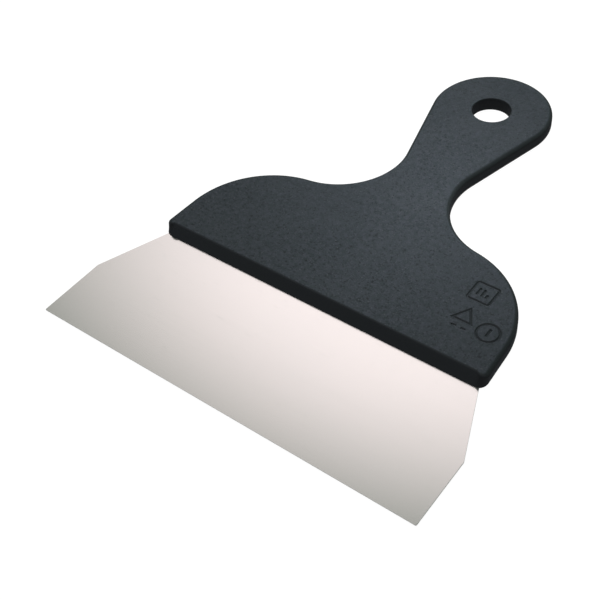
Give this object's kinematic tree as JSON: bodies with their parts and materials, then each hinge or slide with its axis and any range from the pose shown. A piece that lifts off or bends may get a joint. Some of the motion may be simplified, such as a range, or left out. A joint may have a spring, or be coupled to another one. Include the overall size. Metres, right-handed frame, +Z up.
{
  "type": "bench scraper",
  "caption": "Wide thin steel scraping blade moulded into a flat plastic handle with rounded shoulders, a waisted grip and a round hanging hole.",
  "frame": {"origin": "on the plane the tool lies on, under the middle of its bounding box", "axes": "+Y from the working edge towards the hanging hole, +X across the blade, +Z up out of the handle's marked face"},
  "size_m": [0.2, 0.26, 0.0075],
  "materials": {
    "blade": "cold-rolled spring stainless sheet, satin",
    "handle": "fine-grained moulded polypropylene, charcoal black"
  },
  "bodies": {
    "root": {"blade": "blade", "handle": "handle"}
  },
  "joints": []
}
